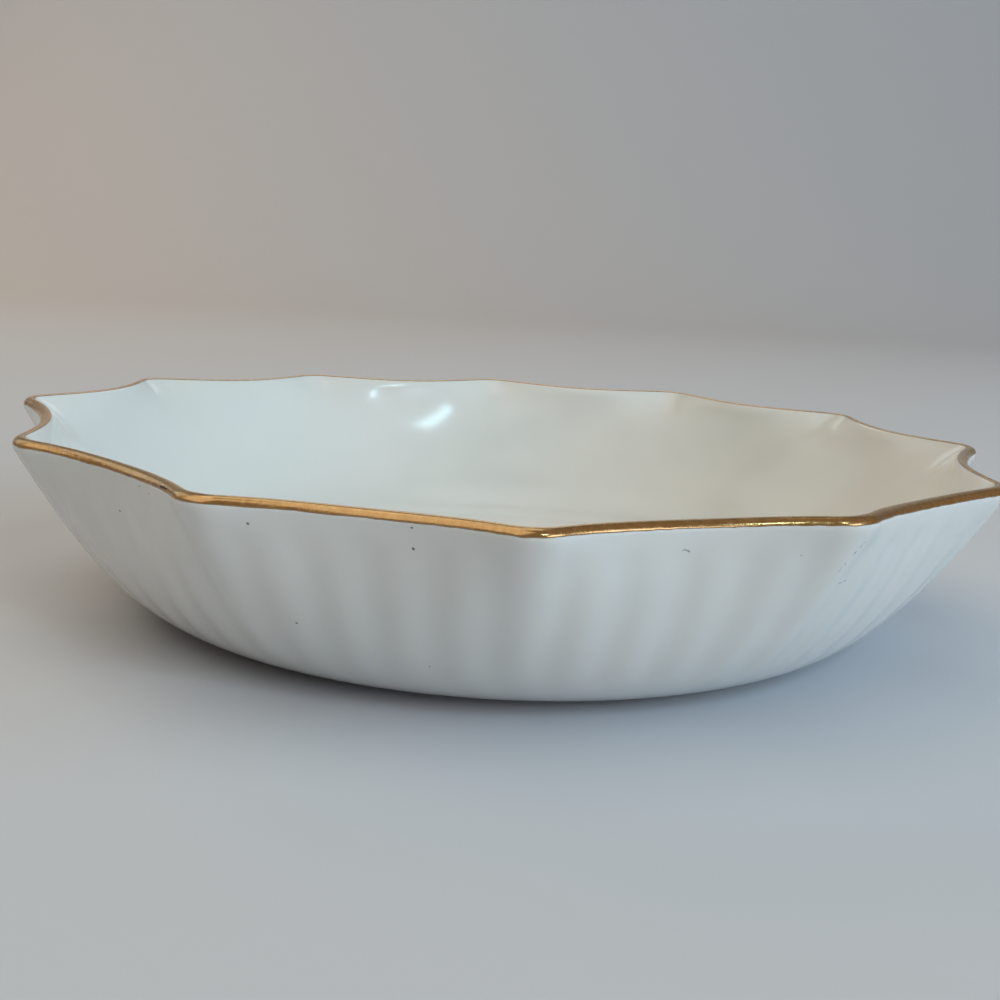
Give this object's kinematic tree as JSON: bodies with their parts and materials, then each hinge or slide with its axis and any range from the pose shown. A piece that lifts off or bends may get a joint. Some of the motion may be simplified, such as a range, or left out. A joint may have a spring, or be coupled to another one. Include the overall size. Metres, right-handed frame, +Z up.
{
  "type": "ring dish",
  "caption": "Shallow round china dish with a hollow-sided polygonal gilded lip, a flared fluted wall and a low foot ring, for rings and small trinkets.",
  "frame": {"origin": "on the axis, on the surface that the dish stands on", "axes": "+Z up along the axis of the dish; +X and -Y each pass through a corner of the rim"},
  "size_m": [0.114, 0.114, 0.022],
  "materials": {
    "glazed_china": "glossy clear glaze over white bone china",
    "fired_gold": "fired liquid gold, worn along its lower edge"
  },
  "bodies": {
    "root": {"china_body": "glazed_china", "gilt_band": "fired_gold"}
  },
  "joints": []
}
